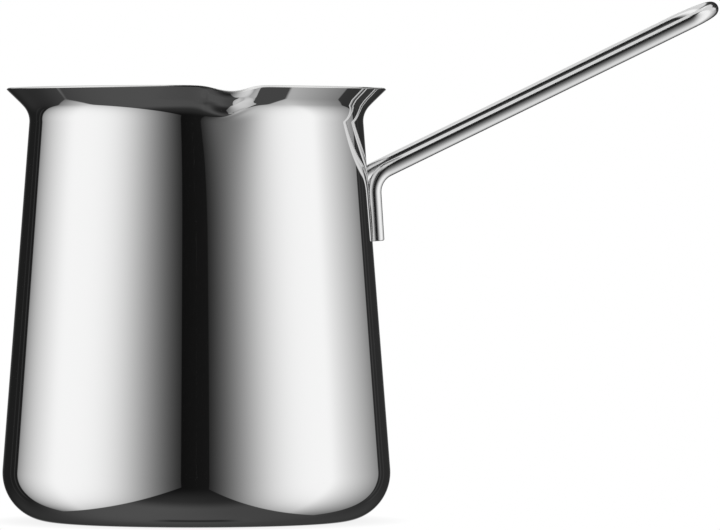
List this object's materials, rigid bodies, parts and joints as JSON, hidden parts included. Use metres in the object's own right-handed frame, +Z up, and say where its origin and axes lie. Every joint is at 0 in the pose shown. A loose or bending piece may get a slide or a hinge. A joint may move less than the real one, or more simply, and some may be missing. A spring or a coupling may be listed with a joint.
{
  "type": "coffee pot",
  "caption": "Turkish coffee pot with a tapering mirror-polished steel body, a flared rim with a pressed pouring lip, and a rising hairpin wire handle welded to the wall.",
  "frame": {"origin": "middle of the flat underside of the base, where the pot stands on the table", "axes": "+Z up along the pot's axis, +X along the handle, -Y on the side of the pouring lip, which is 92.8 degrees round from the handle"},
  "size_m": [0.1633, 0.086, 0.1159],
  "materials": {
    "polished_steel": "mirror-polished stainless steel sheet",
    "polished_wire": "drawn and polished stainless steel wire",
    "weld_metal": "small resistance-weld bead, cleaned"
  },
  "bodies": {
    "root": {"pot_body": "polished_steel", "handle_wire": "polished_wire", "front_leg_weld": "weld_metal", "rear_leg_weld": "weld_metal"}
  },
  "joints": []
}
